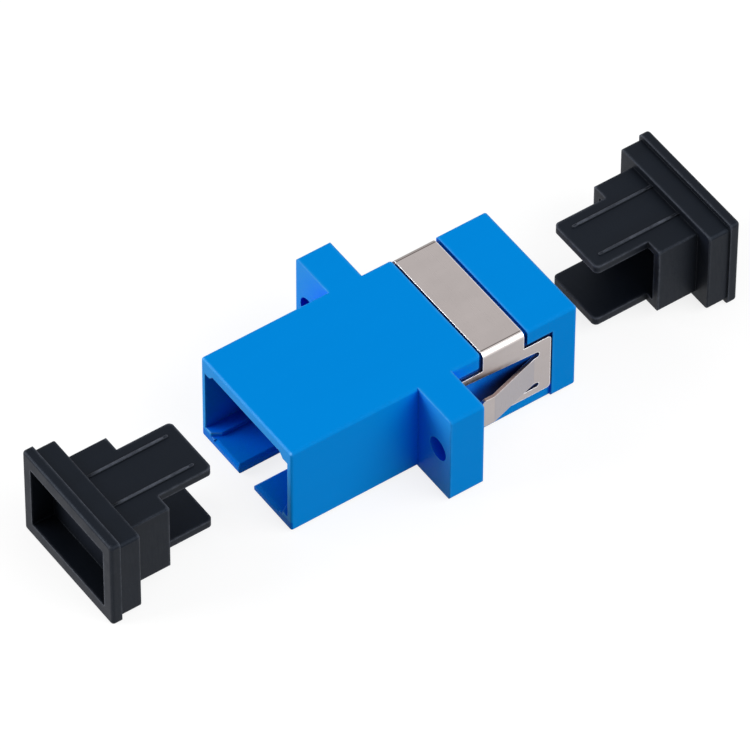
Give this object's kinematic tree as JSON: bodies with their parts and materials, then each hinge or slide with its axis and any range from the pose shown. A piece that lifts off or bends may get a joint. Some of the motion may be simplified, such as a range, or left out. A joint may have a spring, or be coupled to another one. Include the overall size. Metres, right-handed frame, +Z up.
{
  "type": "sc fibre adapter",
  "caption": "Flanged fibre adapter that joins two square push-pull plugs end to end, with a steel panel clip, a split ceramic sleeve inside and pull-off dust caps.",
  "frame": {"origin": "the middle of the bore that lines the two ferrules up", "axes": "+X the way a plug goes into mouth A, towards mouth B and the clip; +Y the width, towards a flange hole; +Z up, with the keyways below"},
  "size_m": [0.0623, 0.022, 0.0096],
  "materials": {
    "housing_plastic": "satin blue moulding",
    "insert_plastic": "satin blue moulding",
    "spring_steel": "fine rolled sheet",
    "ceramic": "polished white ceramic",
    "cap_plastic": "matt black moulding"
  },
  "bodies": {
    "adapter": {"housing": "housing_plastic", "retention_clip": "spring_steel", "latch_insert_a": "insert_plastic", "latch_insert_b": "insert_plastic", "alignment_sleeve": "ceramic"},
    "cap_a": {"dust_cap_a": "cap_plastic"},
    "cap_b": {"dust_cap_b": "cap_plastic"}
  },
  "joints": [
    {"name": "cap_a_slide", "type": "slide", "parent": "adapter", "child": "cap_a", "axis": [1, 0, 0], "range_m": [0, 0.0144]},
    {"name": "cap_b_slide", "type": "slide", "parent": "adapter", "child": "cap_b", "axis": [-1, 0, 0], "range_m": [0, 0.01355]}
  ]
}
